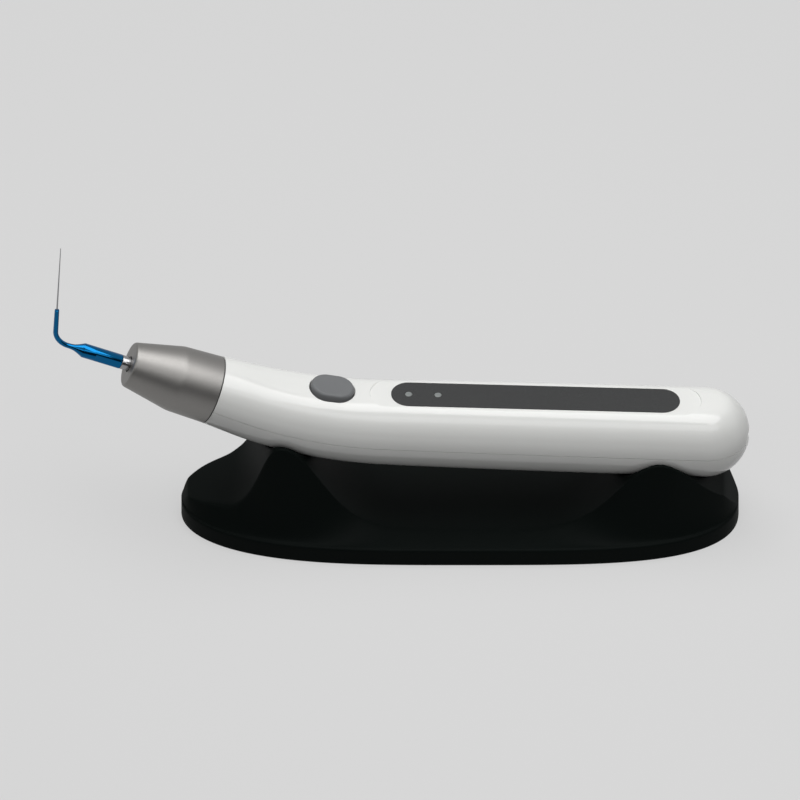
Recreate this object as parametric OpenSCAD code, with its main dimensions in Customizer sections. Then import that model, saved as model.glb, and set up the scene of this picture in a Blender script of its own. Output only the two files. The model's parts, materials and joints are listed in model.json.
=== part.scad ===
// Cordless ultrasonic endodontic handpiece lying on a matte silicone cradle.
// Millimetres. +Z is up, the cradle stands on z = 0, the tip points toward -X, and the
// object is symmetric about the XZ plane. The handle's centre line is a straight nose,
// one bend and a straight tail. A station s is the distance along that line from the
// nose joint, y is across, and w is the height over the line, square to it.

/* [Cradle] */
// Half length of the cradle
cradle_half_x = 83.6; // [83:0.1:85]
// Half width of the cradle
cradle_half_y = 24.6; // [23.8:0.1:26]
// Height of the cradle's side wall
cradle_wall_h = 6; // [5:0.5:6.5]
// Height of the crest of the saddle near the nose
front_saddle_h = 36.1; // [35.5:0.1:36.5]
// Height of the crest of the saddle near the tail
rear_saddle_h = 30.8; // [30.2:0.1:31.2]
// Gap between the saddles and the handle
rest_gap = 0.35; // [0.3:0.05:0.6]

/* [Handle] */
// Radius of the handle at its tail
grip_r = 13.45; // [13.2:0.05:13.6]
// How much thinner the handle is at the nose joint
grip_taper = 3.01; // [2.8:0.05:3.1]
// Length over which the handle thickens
taper_len = 38; // [34:1:42]
// Radius of the bend between nose and tail
bend_r = 127; // [124:1:130]
// Length of the straight tail up to the centre of its dome
tail_len = 96.2; // [95.2:0.2:97.2]
// Thickness of the shell wall
shell_wall = 1.8; // [1.6:0.1:1.9]
// Gap at the seam between the two half shells
seam_gap = 0.16; // [0.1:0.02:0.2]

/* [Label] */
// Length of the flat facet that carries the label
facet_len = 99.3; // [98:0.1:100]
// Width of the facet's pocket
facet_w = 13.2; // [12.6:0.1:13.6]
// Length of the label plate
label_len = 86.7; // [80:0.1:88]
// Width of the label plate
label_w = 10.7; // [10:0.1:11.4]
// Thickness of the label plate
label_t = 0.2; // [0.15:0.05:0.3]
// Diameter of each status lens
lens_d = 2.1; // [1.8:0.1:2.4]

/* [Button] */
// Length of the button along the handle
button_len = 13.1; // [12:0.1:13.4]
// Width of the button
button_w = 10; // [9.4:0.1:10.2]
// Height of the button's top over the centre line
button_top = 12.9; // [12.4:0.1:13.1]
// Gap all round the button
button_gap = 0.2; // [0.15:0.05:0.3]

/* [Nose] */
// Radius of the nose's front face
nose_front_r = 6.8; // [6.5:0.1:7]
// Radius of the nose at its change of slope
nose_kink_r = 10; // [9.8:0.05:10.1]
// Radius of the collar at the front of the horn
collar_r = 2.15; // [2.1:0.05:2.2]

/* [Tip] */
// Length of the needle
needle_len = 24.4; // [21:0.1:25]
// Radius of the needle at its root
needle_root_r = 0.27; // [0.22:0.01:0.32]
// Radius of the needle at its end
needle_end_r = 0.12; // [0.1:0.01:0.15]
// Radius of the hub
hub_r = 2.2; // [2.1:0.05:2.3]
// Width across the hub's spanner flats
hub_flats = 3.7; // [3.5:0.1:3.9]

/* [Output] */
// Piece to build, or all

/* [Hidden] */
nose_pitch = 22;
tail_pitch = 2.32;
joint_x = -73.4;
joint_z = 48.3;
nose_len = 28;
kink_u = -12.9;
bend_start = 9;
bend_len = bend_r * (nose_pitch - tail_pitch) * PI / 180;
tail_start = bend_start + bend_len;
dome_s = tail_start + tail_len;
bend_x = joint_x + bend_start * cos(nose_pitch);
bend_z = joint_z - bend_start * sin(nose_pitch);
tail_x = bend_x + bend_r * (sin(nose_pitch) - sin(tail_pitch));
tail_z = bend_z - bend_r * (cos(tail_pitch) - cos(nose_pitch));
facet_pitch = 1.97;
facet_mid_x = 22.65;
button_s = 34.75;
crown_p = 24;
joint_s = -0.9;
joint_gap = 0.15;
neck_corner = -51.85;
neck_bend_r = 5.84;
neck_rise = 12.73;
needle_lean = 2.6;
lens_x = [-15.4, -6.6];
screw_x = [-11, 65];
cell_w = -3.6;
cell_from_x = 8;
cell_len = 50;
board_w0 = 5.2;
board_t = 1.2;

// ---- The handle's centre line ----

function pitch(s) =
    s < bend_start ? nose_pitch
    : s > tail_start ? tail_pitch
    : nose_pitch - (s - bend_start) / bend_r * 180 / PI;

function axis_x(s) =
    s < bend_start ? joint_x + s * cos(nose_pitch)
    : s > tail_start ? tail_x + (s - tail_start) * cos(tail_pitch)
    : bend_x + bend_r * (sin(nose_pitch) - sin(pitch(s)));

function axis_z(s) =
    s < bend_start ? joint_z - s * sin(nose_pitch)
    : s > tail_start ? tail_z - (s - tail_start) * sin(tail_pitch)
    : bend_z - bend_r * (cos(pitch(s)) - cos(nose_pitch));

// The station over a given x
function station(x) =
    x < bend_x ? (x - joint_x) / cos(nose_pitch)
    : x > tail_x ? tail_start + (x - tail_x) / cos(tail_pitch)
    : bend_start
        + bend_r * (nose_pitch - asin(sin(nose_pitch) - (x - bend_x) / bend_r)) * PI / 180;

function point_at(s, y, w) = [axis_x(s) + w * sin(pitch(s)), y, axis_z(s) + w * cos(pitch(s))];

module on_axis(s) {
    translate([axis_x(s), 0, axis_z(s)])
    rotate([0, pitch(s), 0])
    children();
}

// Turns a profile of (radius, distance toward the tail) about the centre line at s
module turned(s = 0) {
    on_axis(s)
    rotate([0, 90, 0])
    rotate_extrude($fn = 96)
    children();
}

// A round bar along the centre line's tangent at s, from u0 to u1
module bar(s, u0, u1, r) {
    on_axis(s)
    translate([u0, 0, 0])
    rotate([0, 90, 0])
    cylinder(r = r, h = u1 - u0, $fn = 64);
}

// A long slot shape, length along X
module slot_2d(len, w) {
    square([len - w, w], center = true);
    translate([-(len - w) / 2, 0])
    circle(d = w, $fn = 72);
    translate([(len - w) / 2, 0])
    circle(d = w, $fn = 72);
}

// A round wire through a list of points, with a slightly fuller ball at each bend
module wire(points, r) {
    for (i = [0 : len(points) - 2]) {
        a = points[i];
        d = points[i + 1] - a;
        translate(a)
        rotate([0, atan2(norm([d[0], d[1]]), d[2]), atan2(d[1], d[0])])
        cylinder(r = r, h = norm(d), $fn = 24);
        if (i > 0)
            translate(a)
            sphere(r = 1.15 * r, $fn = 24);
    }
}

// ---- The handle's section ----

function handle_r(s) = grip_r - grip_taper * exp(-s / taper_len);

// Height of the flattened crown as a share of the radius: round at the nose joint, flattened
// over the grip, with a shallow dip where the thumb finds the button
function crown_share(s) =
    0.9 + 0.3 * exp(-s / 9);

// Radius at an angle from the top, for a circle cut off by a soft flat at height h
function section_r(angle, r, h) =
    pow(pow(1 / r, crown_p) + pow(abs(cos(angle)) / h, crown_p), -1 / crown_p);

station_list = [
    for (s = [joint_s + joint_gap, 3, 6, 9, 12.5, 16, 20, 24, 28, 32, 36, 40, 44, 48.5]) s,
    for (i = [0 : 10]) tail_start + i * (tail_len - 0.01) / 10
];
dome_angles = [10, 20, 30, 40, 50, 60, 70, 79];
across = 22;

// Each ring: station, radius, crown height
function rings(inset, crown_inset) = concat(
    [for (s = station_list) [s, handle_r(s) - inset, crown_share(s) * handle_r(s) - crown_inset]],
    [
        for (a = dome_angles)
            [
                dome_s + (handle_r(dome_s) - inset) * sin(a),
                (handle_r(dome_s) - inset) * cos(a),
                crown_share(dome_s) * handle_r(dome_s) - crown_inset
            ]
    ]
);

function ring_points(ring, side) = [
    for (j = [0 : across])
        let (
            a = -90 + 180 * j / across,
            r = side > 0 ? section_r(a, ring[1], ring[2]) : ring[1]
        )
        point_at(ring[0], r * sin(a), side * (r * cos(a) + seam_gap / 2))
];

// Half of the hollow handle, above (side 1) or below (side -1) its middle plane
module half_shell(side) {
    outer = rings(0, 0);
    inner = rings(shell_wall, shell_wall + 0.3);
    n = len(outer);
    m = across + 1;
    in0 = n * m;
    tip = 2 * n * m;
    end_out = point_at(dome_s + handle_r(dome_s), 0, side * seam_gap / 2);
    end_in = point_at(dome_s + handle_r(dome_s) - shell_wall, 0, side * seam_gap / 2);
    points = concat(
        [for (ring = outer) each ring_points(ring, side)],
        [for (ring = inner) each ring_points(ring, side)],
        [end_out, end_in]
    );
    faces = concat(
        [
            for (i = [0 : n - 2], j = [0 : m - 2])
                let (a = i * m + j, b = a + 1, c = b + m, d = a + m)
                each [
                    [a, b, c], [a, c, d],
                    [in0 + a, in0 + c, in0 + b], [in0 + a, in0 + d, in0 + c]
                ]
        ],
        [
            for (j = [0 : m - 2])
                let (a = (n - 1) * m + j)
                each [[a, a + 1, tip], [in0 + a, tip + 1, in0 + a + 1]]
        ],
        [
            for (i = [0 : n - 2])
                let (a = i * m, d = a + m, e = a + m - 1, f = d + m - 1)
                each [
                    [a, d, in0 + d], [a, in0 + d, in0 + a],
                    [f, e, in0 + e], [f, in0 + e, in0 + f]
                ]
        ],
        [
            for (a = [(n - 1) * m])
                let (e = a + m - 1)
                each [
                    [a, tip, tip + 1], [a, tip + 1, in0 + a],
                    [tip, e, in0 + e], [tip, in0 + e, tip + 1]
                ]
        ],
        [
            for (j = [0 : m - 2])
                each [[j + 1, j, in0 + j], [j + 1, in0 + j, in0 + j + 1]]
        ]
    );
    polyhedron(
        points = points,
        faces = side > 0 ? faces : [for (f = faces) [f[2], f[1], f[0]]],
        convexity = 8
    );
}

// ---- The facet that carries the label ----

function facet_z(x) = 45.33 - tan(facet_pitch) * (x - 24);

module on_facet(x) {
    translate([x, 0, facet_z(x)])
    rotate([0, facet_pitch, 0])
    children();
}

module port_opening() {
    on_axis(dome_s)
    translate([9, 0, 0])
    rotate([0, 90, 0])
    rotate([0, 0, 90])
    linear_extrude(height = 8)
    slot_2d(9.8, 4);
}

module upper_shell() {
    color([0.95, 0.95, 0.94])
    difference() {
        union() {
            half_shell(1);
            for (x = screw_x)
                on_axis(station(x))
                translate([0, 0, -1])
                cylinder(r = 2.2, h = 11.3, $fn = 48);
            for (u = [-9.8, 9.8])
                on_axis(button_s)
                translate([u, 0, 3.6])
                cylinder(r = 1.3, h = 6.3, $fn = 32);
        }
        on_facet(facet_mid_x)
        linear_extrude(height = 4)
        slot_2d(facet_len, facet_w);
        on_axis(button_s)
        linear_extrude(height = 16)
        slot_2d(button_len + 2 * button_gap, button_w + 2 * button_gap);
        for (x = lens_x)
            on_facet(x)
            translate([0, 0, -5])
            cylinder(d = lens_d + 0.16, h = 7, $fn = 48);
        for (x = screw_x)
            on_axis(station(x))
            translate([0, 0, -2])
            cylinder(r = 1.05, h = 6, $fn = 32);
        port_opening();
    }
}

module lower_shell() {
    color([0.93, 0.93, 0.92])
    difference() {
        union() {
            half_shell(-1);
            for (x = screw_x)
                on_axis(station(x))
                translate([0, 0, -12.2])
                cylinder(r = 3, h = 11, $fn = 48);
            for (y = [-4, 4])
                on_axis(dome_s)
                translate([-1.5, y, -11])
                cylinder(r = 1.4, h = 8.4, $fn = 32);
        }
        for (x = screw_x)
            on_axis(station(x))
            union() {
                translate([0, 0, -15])
                cylinder(r = 2.1, h = 7, $fn = 48);
                translate([0, 0, -9])
                cylinder(r = 1.15, h = 9, $fn = 32);
            }
        port_opening();
    }
}

module shell_screws() {
    color([0.7, 0.71, 0.72])
    for (x = screw_x)
        on_axis(station(x))
        difference() {
            union() {
                translate([0, 0, -9.5])
                cylinder(r = 1.9, h = 1.5, $fn = 48);
                translate([0, 0, -8.2])
                cylinder(r = 1, h = 11.2, $fn = 32);
            }
            translate([0, 0, -9.6])
            cylinder(r = 0.9, h = 1, $fn = 6);
        }
}

module label_plate() {
    color([0.2, 0.2, 0.2])
    difference() {
        on_facet(facet_mid_x)
        linear_extrude(height = label_t)
        slot_2d(label_len, label_w);
        for (x = lens_x)
            on_facet(x)
            translate([0, 0, -1])
            cylinder(d = lens_d + 0.16, h = 3, $fn = 48);
    }
}

module status_lenses() {
    color([0.75, 0.76, 0.76])
    for (x = lens_x)
        on_facet(x)
        translate([0, 0, -3.4])
        cylinder(d = lens_d, h = 3.4 + label_t, $fn = 48);
}

// ---- Nose ----

module nose_cap() {
    rim = 0.8;
    color([0.66, 0.65, 0.63])
    turned()
    polygon(concat(
        [[2.45, -nose_len]],
        [
            for (a = [0 : 15 : 90])
                [nose_front_r - rim + rim * sin(a), -nose_len + rim - rim * cos(a)]
        ],
        [
            [nose_kink_r, kink_u],
            [handle_r(joint_s), joint_s - joint_gap],
            [8.5, joint_s - joint_gap],
            [8.5, -9.6],
            [7.5, -9.6],
            [7.5, -13.1],
            [6.2, -13.1],
            [4.1, -25],
            [2.45, -25]
        ]
    ));
}

module nose_seal() {
    color([0.12, 0.12, 0.12])
    turned()
    translate([8.75, joint_s - joint_gap])
    square([1.35, 2 * joint_gap]);
}

module horn_seal() {
    color([0.55, 0.12, 0.1])
    turned()
    translate([3.1, -24.1])
    circle(r = 0.82, $fn = 40);
}

// The horn narrows from its flange to the collar along an exponential curve
module transducer_horn() {
    front = -30.55;
    color([0.78, 0.79, 0.8])
    difference() {
        turned()
        polygon(concat(
            [
                [1.5, front],
                [collar_r - 0.2, front],
                [collar_r, front + 0.2],
                [collar_r, -24]
            ],
            [for (t = [0.1 : 0.1 : 1]) [collar_r + (4.8 - collar_r) * pow(t, 1.8), -24 + 9 * t]],
            [
                [4.8, -13],
                [7.2, -13],
                [7.2, -11],
                [5.2, -11],
                [5.2, -9.8],
                [2, -9.8],
                [2, -16.6],
                [0, -16.6],
                [0, -25.4],
                [1.5, -25.4]
            ]
        ));
        // Spanner holes round the collar
        on_axis(0)
        for (turn = [45 : 90 : 315])
            translate([-29.2, 0, 0])
            rotate([turn, 0, 0])
            translate([0, 0, 1.65])
            cylinder(d = 0.7, h = 1, $fn = 24);
    }
}

module piezo_rings() {
    color([0.82, 0.8, 0.72])
    turned()
    for (i = [0 : 3])
        translate([2.5, -9.6 + 2.2 * i])
        square([2.5, 2]);
}

module electrode_plates() {
    color([0.8, 0.6, 0.3])
    for (i = [0 : 4]) {
        turned()
        translate([2.4, -9.8 + 2.2 * i])
        square([2.6, 0.2]);
        on_axis(0)
        translate([-9.8 + 2.2 * i, i % 2 == 0 ? -2.6 : 1.4, -6])
        cube([0.2, 1.2, 2]);
    }
}

module back_mass() {
    color([0.6, 0.61, 0.62])
    turned()
    translate([2.1, -0.8])
    square([2.9, 12.8]);
}

module stack_bolt() {
    color([0.5, 0.5, 0.52])
    difference() {
        union() {
            bar(0, -16.3, 12.2, 1.95);
            bar(0, 12, 15, 3.2);
        }
        on_axis(0)
        translate([13.2, 0, 0])
        rotate([0, 90, 0])
        cylinder(r = 1.7, h = 3, $fn = 6);
    }
}

module transducer_holder() {
    color([0.25, 0.26, 0.28])
    turned()
    polygon([[6.5, -9.4], [8.2, -9.4], [8.2, 11], [5.4, 11], [5.4, 9.4], [6.5, 9.4]]);
}

module transducer_leads() {
    color([0.75, 0.15, 0.12])
    for (i = [0, 1])
        let (y = i == 0 ? -2 : 2)
        wire([
            point_at(i == 0 ? -0.32 : -2.52, y, -5.53),
            point_at(9, y, -5.7),
            point_at(18, 1.6 * y, -6.5),
            point_at(40, 2.6 * y, -2),
            point_at(52, 2.6 * y, 2.5),
            point_at(station(-17), 2.4 * y, 4.7)
        ], 0.4);
}

// ---- Electronics ----

module main_board() {
    color([0.1, 0.35, 0.2])
    difference() {
        on_axis(station(20.5))
        translate([-40.5, -8, board_w0])
        cube([81, 16, board_t]);
        for (x = [screw_x[0]])
            on_axis(station(x))
            translate([0, 0, 2])
            cylinder(r = 2.7, h = 8, $fn = 48);
    }
}

module drive_transformer() {
    color([0.15, 0.15, 0.16])
    on_axis(station(12))
    translate([0, 0, board_w0 + board_t])
    difference() {
        union() {
            translate([-5, -4.5, 0])
            cube([10, 9, 0.8]);
            translate([-5, -4.5, 2])
            cube([10, 9, 0.7]);
            cylinder(r = 3.9, h = 2.6, $fn = 64);
        }
        translate([0, 0, -1])
        cylinder(r = 0.7, h = 5, $fn = 24);
    }
}

module control_chip() {
    color([0.08, 0.08, 0.09])
    on_axis(station(34))
    translate([0, 0, board_w0 + board_t])
    union() {
        translate([-3.5, -3.5, 0.1])
        cube([7, 7, 1]);
        for (i = [-3 : 3]) {
            translate([i - 0.15, -4.5, 0])
            cube([0.3, 9, 0.3]);
            translate([-4.5, i - 0.15, 0])
            cube([9, 0.3, 0.3]);
        }
    }
}

module status_leds() {
    color([0.9, 0.9, 0.75])
    for (x = lens_x)
        on_axis(station(x))
        translate([-0.7, -1, board_w0 + board_t])
        cube([1.4, 2, 0.8]);
}

module switch_board() {
    color([0.1, 0.35, 0.2])
    on_axis(button_s)
    translate([-11.5, -6, 2.6])
    cube([23, 12, 1]);
}

module tactile_switch() {
    color([0.2, 0.2, 0.21])
    on_axis(button_s)
    difference() {
        translate([-3, -3, 3.6])
        cube([6, 6, 2.2]);
        translate([0, 0, 4.1])
        cylinder(r = 1.75, h = 3, $fn = 48);
    }
}

module charge_board() {
    color([0.1, 0.35, 0.2])
    on_axis(dome_s)
    translate([-4.5, -6, -2.6])
    cube([12.5, 12, 1]);
}

module charging_socket() {
    color([0.72, 0.73, 0.74])
    on_axis(dome_s)
    rotate([0, 90, 0])
    rotate([0, 0, 90])
    union() {
        difference() {
            translate([0, 0, 4.4])
            linear_extrude(height = 7.6)
            slot_2d(9, 3.2);
            translate([0, 0, 5.4])
            linear_extrude(height = 8)
            slot_2d(8.3, 2.5);
        }
        translate([-3.3, -0.35, 5.2])
        cube([6.6, 0.7, 5.2]);
    }
}

module battery_cell() {
    color([0.2, 0.3, 0.55])
    on_axis(station(cell_from_x))
    translate([0, 0, cell_w])
    rotate([0, 90, 0])
    rotate_extrude($fn = 96)
    polygon([
        [0, 0],
        [6.6, 0],
        [7, 0.4],
        [7, cell_len - 1.2],
        [6.4, cell_len - 0.6],
        [2.6, cell_len - 0.6],
        [2.6, cell_len],
        [0, cell_len]
    ]);
}

module battery_bracket() {
    color([0.3, 0.31, 0.33])
    on_axis(station(cell_from_x))
    difference() {
        translate([-1.6, -7.2, -8.5])
        cube([cell_len + 3.2, 14.4, 8.5 + board_w0]);
        translate([-0.1, 0, cell_w])
        rotate([0, 90, 0])
        cylinder(r = 7.2, h = cell_len + 0.2, $fn = 96);
        translate([-0.1, -8, -12])
        cube([cell_len + 0.2, 16, 12 + cell_w]);
        translate([-2, -6, -8])
        cube([cell_len + 4, 1.2, 3]);
        translate([4, -8, -1])
        cube([cell_len - 8, 16, 3.4]);
    }
}

module battery_leads() {
    color([0.12, 0.12, 0.13])
    for (y = [-1, 1])
        wire([
            point_at(station(y < 0 ? 5.8 : 60.2), 3 * y, -4),
            point_at(station(y < 0 ? 4.6 : 61.2), 5 * y, -1),
            point_at(station(y < 0 ? 4.6 : 60.4), 5 * y, 4.7)
        ], 0.45);
}

// ---- Button ----

module button_profile(r, z0, z1, edge) {
    polygon(concat(
        [[0, z0], [r, z0]],
        [for (a = [0 : 18 : 90]) [r - edge + edge * cos(a), z1 - edge + edge * sin(a)]],
        [[0, z1]]
    ));
}

module power_button() {
    low = 6.9;
    run = button_len - button_w;
    color([0.45, 0.46, 0.46])
    on_axis(button_s)
    union() {
        for (u = [-run / 2, run / 2])
            translate([u, 0, 0])
            rotate_extrude($fn = 72)
            button_profile(button_w / 2, low, button_top, 0.9);
        rotate([90, 0, 90])
        translate([0, 0, -run / 2])
        linear_extrude(height = run) {
            button_profile(button_w / 2, low, button_top, 0.9);
            mirror([1, 0])
            button_profile(button_w / 2, low, button_top, 0.9);
        }
        translate([0, 0, low])
        linear_extrude(height = 1.6)
        slot_2d(button_len + 1.9, button_w + 1.6);
    }
}

module switch_plunger() {
    color([0.85, 0.85, 0.8])
    on_axis(button_s)
    translate([0, 0, 4.9])
    cylinder(r = 1.65, h = 2, $fn = 48);
}

// ---- Tip ----

module tip_stud() {
    color([0.75, 0.76, 0.77])
    turned()
    polygon(concat(
        [[0, -34.2], [1.15, -34.2]],
        [
            for (i = [0 : 15])
                each [[1.45, -34 + 0.5 * i + 0.12], [1.2, -34 + 0.5 * i + 0.38]]
        ],
        [[1.15, -25.8], [0, -25.8]]
    ));
}

// Puts its children at the corner of the bent neck, with +Z along the needle
module along_needle() {
    translate([axis_x(neck_corner), 0, axis_z(neck_corner)])
    rotate([0, needle_lean, 0])
    children();
}

module tip_hub() {
    back = -30.6;
    flats = -39;
    front = -42.95;
    turn = 90 - nose_pitch + needle_lean;
    arm = neck_bend_r * tan(turn / 2);
    over = 2;
    color([0.1, 0.35, 0.7])
    union() {
        difference() {
            turned()
            polygon([
                [1.5, back],
                [hub_r - 0.2, back],
                [hub_r, back - 0.2],
                [hub_r, front + 0.25],
                [hub_r - 0.25, front],
                [0.95, front - 1.85],
                [0.79, neck_corner + arm],
                [0, neck_corner + arm],
                [0, -34.6],
                [1.5, -34.6]
            ]);
            for (side = [-1, 1])
                on_axis(0)
                translate([front - 0.01, side > 0 ? hub_flats / 2 : -hub_flats / 2 - 3, -4])
                cube([flats - front, 3, 8]);
        }
        along_needle() {
            translate([neck_bend_r, 0, arm])
            rotate([90, 0, 0])
            rotate([0, 0, 180 - over])
            rotate_extrude(angle = turn + 2 * over, $fn = 96)
            translate([neck_bend_r, 0])
            circle(r = 0.77, $fn = 48);
            translate([0, 0, arm])
            rotate_extrude($fn = 96)
            polygon([
                [0, 0],
                [0.79, 0],
                [0.71, neck_rise - arm - 0.35],
                [0.45, neck_rise - arm],
                [needle_root_r, neck_rise - arm],
                [needle_root_r, neck_rise - arm - 4],
                [0, neck_rise - arm - 4]
            ]);
        }
    }
}

module tip_needle() {
    top = neck_rise + needle_len;
    color([0.72, 0.73, 0.75])
    along_needle()
    rotate_extrude($fn = 64)
    polygon([
        [0, neck_rise - 3.9],
        [needle_root_r - 0.02, neck_rise - 3.9],
        [needle_root_r - 0.02, neck_rise],
        [needle_end_r, top - 0.3],
        [0.03, top],
        [0, top]
    ]);
}

// ---- Cradle ----

// Half width: an oval, a little squarer at the tail's end
function outline_y(x) =
    let (share = abs(x) / cradle_half_x)
    cradle_half_y
    * (x < 0 ? pow(1 - pow(share, 3.25), 1 / 2.1) : pow(1 - pow(share, 3.9), 1 / 2.4));

function bump(x, sigma) = exp(-x * x / (2 * sigma * sigma));

// The front saddle falls off steeply and runs out slowly toward the nose
function front_share(x) = x < -53.4 ? 1 / (1 + pow((-53.4 - x) / 8.56, 2.85)) : bump(x + 53.4, 11);

// How far the crest has come up from the tip of the oval
function end_share(x) =
    1 - pow(max(0, 1 - (cradle_half_x - abs(x)) / (x < 0 ? 2.2 : 4.6)), 1.6);

// Height of the crest line along the cradle: two saddles over a low floor, and a raised end
// under the nose
function crest_h(x) =
    cradle_wall_h
    + end_share(x) * (
        7 - cradle_wall_h
        + (front_saddle_h - 7) * front_share(x)
        + (rear_saddle_h - 7) * bump(x - 60, 12.3)
        + 2.85 * bump(x + 75.5, 7)
    );

function crest_y(x, edge) = min(13 + 1.6 * (x + 53.4) / 113.4, 0.75 * edge);

// Station whose lower surface passes over (x, y), found by repeated correction
function under_station(x, y, s, n) =
    n == 0 ? s
    : under_station(x, y, station(x + under_w(s, y) * sin(pitch(s))), n - 1);

function under_w(s, y) = sqrt(max(0, pow(handle_r(s) + rest_gap, 2) - y * y));

function groove_z(x, y) =
    let (s = under_station(x, y, station(x), 4))
    abs(y) > handle_r(s) + rest_gap - 0.05 ? 200
    : axis_z(s) - under_w(s, y) * cos(pitch(s));

// Smooth least of three heights
function soft_least(a, b, c, k) = -k * ln(exp(-a / k) + exp(-b / k) + exp(-c / k));

function cradle_z(x, y, edge) =
    let (
        h = crest_h(x),
        yc = crest_y(x, edge),
        t = max(0, (edge - abs(y)) / (edge - yc)),
        rise = h - cradle_wall_h,
        gentle = min(1, max(0, (-57 - x) / 12)),
        flank = cradle_wall_h + (rise + rise / 20 + 0.6) * pow(t, 1.7 - 0.45 * gentle) + 0.02,
        k = 0.12 + 0.024 * rise + 0.9 * gentle
    )
    max(cradle_wall_h - 0.6, soft_least(h, flank, groove_z(x, y), k));

flank_steps = [0, 0.2, 0.38, 0.55, 0.7, 0.81, 0.89, 0.95, 1];
floor_steps = [0.955, 0.9, 0.83, 0.74, 0.6, 0.42, 0.21];

// One cross section, from the foot of the -Y wall over the top to the foot of the +Y wall
function cradle_ring(x) =
    let (
        b = outline_y(x),
        round = min(0.9, 0.25 * b),
        edge = b - round,
        yc = crest_y(x, edge),
        half = concat(
            [
                [b, 0],
                [b, cradle_wall_h - round],
                [b - 0.3 * round, cradle_wall_h - 0.3 * round]
            ],
            [for (t = flank_steps) let (y = edge + (yc - edge) * t) [y, cradle_z(x, y, edge)]],
            [for (t = floor_steps) [yc * t, cradle_z(x, yc * t, edge)]]
        ),
        n = len(half)
    )
    concat(
        [for (p = half) [x, -p[0], p[1]]],
        [[x, 0, cradle_z(x, 0, edge)]],
        [for (i = [n - 1 : -1 : 0]) [x, half[i][0], half[i][1]]]
    );

module cradle() {
    steps = 50;
    xs = [
        for (i = [0 : steps]) cradle_half_x * sin(-88.4 + 176.8 * i / steps)
    ];
    n = len(xs);
    m = len(cradle_ring(0));
    color([0.07, 0.07, 0.075])
    polyhedron(
        points = [for (x = xs) each cradle_ring(x)],
        faces = concat(
            [
                for (i = [0 : n - 2], j = [0 : m - 2])
                    let (a = i * m + j, b = a + 1, c = b + m, d = a + m)
                    each [[a, b, c], [a, c, d]]
            ],
            [
                for (i = [0 : n - 2])
                    let (a = i * m, d = a + m, e = a + m - 1, f = d + m - 1)
                    each [[a, d, f], [a, f, e]]
            ],
            [
                for (j = [1 : m - 2]) [0, j + 1, j]
            ],
            [
                for (j = [1 : m - 2]) [(n - 1) * m, (n - 1) * m + j, (n - 1) * m + j + 1]
            ]
        ),
        convexity = 8
    );
}

cradle();
nose_cap();
nose_seal();
horn_seal();
transducer_horn();
piezo_rings();
electrode_plates();
back_mass();
stack_bolt();
transducer_holder();
transducer_leads();
upper_shell();
lower_shell();
shell_screws();
label_plate();
status_lenses();
main_board();
drive_transformer();
control_chip();
status_leds();
switch_board();
tactile_switch();
charge_board();
charging_socket();
battery_cell();
battery_bracket();
battery_leads();
power_button();
switch_plunger();
tip_stud();
tip_hub();
tip_needle();
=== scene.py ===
"""A cordless ultrasonic endodontic handpiece lying on a matte silicone cradle.

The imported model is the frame. This script lays smooth surfaces over the pieces that show and gives
the hidden ones their finishes. Sizes are in millimetres until a mesh is made. +Z is up, the tip
points toward -X, and the object is symmetric about the XZ plane. A station s is the distance along
the handle's centre line from the nose joint, y is across, and w is the height over that line,
square to it.
"""

import json
import logging
import math
from collections.abc import Callable
from dataclasses import dataclass, field
from enum import Enum

import bmesh
import bpy
import numpy as np
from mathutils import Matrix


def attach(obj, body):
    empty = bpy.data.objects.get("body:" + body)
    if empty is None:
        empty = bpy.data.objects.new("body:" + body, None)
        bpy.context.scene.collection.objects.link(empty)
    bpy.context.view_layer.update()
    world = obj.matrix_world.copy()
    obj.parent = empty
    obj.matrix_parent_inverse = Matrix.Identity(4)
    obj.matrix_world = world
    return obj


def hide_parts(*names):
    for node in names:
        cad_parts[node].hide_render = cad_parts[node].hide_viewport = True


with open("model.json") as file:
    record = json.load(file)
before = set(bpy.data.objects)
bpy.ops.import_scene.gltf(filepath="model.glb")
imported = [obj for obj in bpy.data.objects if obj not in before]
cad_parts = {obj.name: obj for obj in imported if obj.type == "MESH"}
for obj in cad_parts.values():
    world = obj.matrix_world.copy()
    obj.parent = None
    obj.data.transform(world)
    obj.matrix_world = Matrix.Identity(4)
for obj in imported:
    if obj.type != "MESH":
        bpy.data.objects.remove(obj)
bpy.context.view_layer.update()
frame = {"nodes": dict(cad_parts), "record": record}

log = logging.getLogger("handpiece")

MM = 0.001
SHARP_ANGLE = math.radians(32)

Array = np.ndarray
Piece = bpy.types.Object
Material = bpy.types.Material
Socket = bpy.types.NodeSocket
Colour = tuple[float, float, float]  # linear red, green and blue
Point = tuple[float, float, float]
Pair = tuple[float, float]
Pairs = tuple[Pair, ...]
Outline = Callable[[float], Array]  # from a growth to points of shape (n, 2)
Placer = Callable[[Array], Array]  # from local points (u, y, w) to the object's frame


# ---------------------------------------------------------------- mesh makers


class Caps(Enum):
    """How the two ends of a stack of rings are closed."""

    FLAT = "one face at each end"
    OPEN = "the merge of a pole, or a closed turn"
    FOLDED = "a bridge from the ring's first half to its second, as a C-shaped wall needs"


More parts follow.
